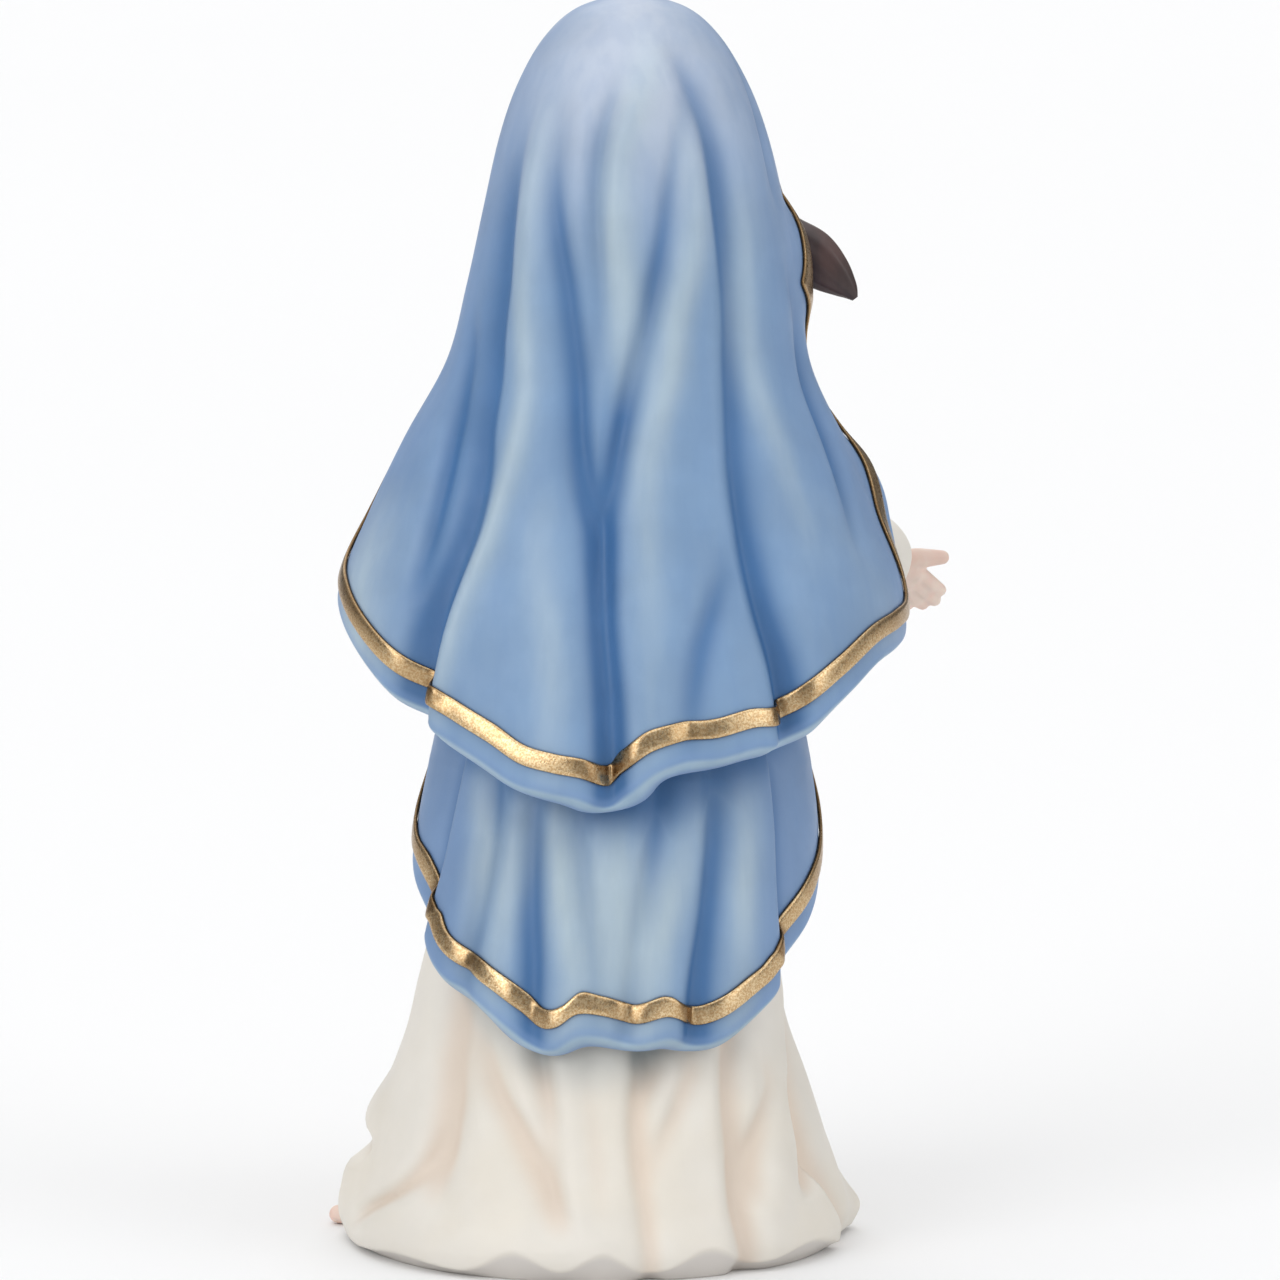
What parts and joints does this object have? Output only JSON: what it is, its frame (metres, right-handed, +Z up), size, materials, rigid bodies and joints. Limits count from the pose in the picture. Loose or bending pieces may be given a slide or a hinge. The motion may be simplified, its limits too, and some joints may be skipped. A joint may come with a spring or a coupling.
{
  "type": "madonna figurine",
  "caption": "Standing robed madonna figurine in cast ceramic: veil and cloak with raised gold bands over a cream gown, arms held open, flat base to stand on.",
  "frame": {"origin": "centre of the base disc's underside, on the plane the figure stands on", "axes": "+Z up; the figure faces -Y; +X is towards the figure's left hand"},
  "size_m": [0.1159, 0.0988, 0.23],
  "materials": {
    "blue_cloak": "satin",
    "cream_robe": "satin",
    "gold_trim": "satin",
    "skin": "satin",
    "dark_hair": "satin",
    "bare_bisque": "matte"
  },
  "bodies": {
    "root": {"gown_skirt": "cream_robe", "base_disc": "bare_bisque", "gown_bodice": "cream_robe", "gown_belt": "gold_trim", "lower_cloak": "blue_cloak", "lower_cloak_band": "gold_trim", "veil": "blue_cloak", "veil_band": "gold_trim", "head": "skin", "hair_cap": "dark_hair", "hair_lock_right": "dark_hair", "hair_lock_left": "dark_hair", "sleeve_right": "cream_robe", "sleeve_left": "cream_robe", "hand_right": "skin", "hand_left": "skin", "foot_right": "skin", "foot_left": "skin"}
  },
  "joints": []
}
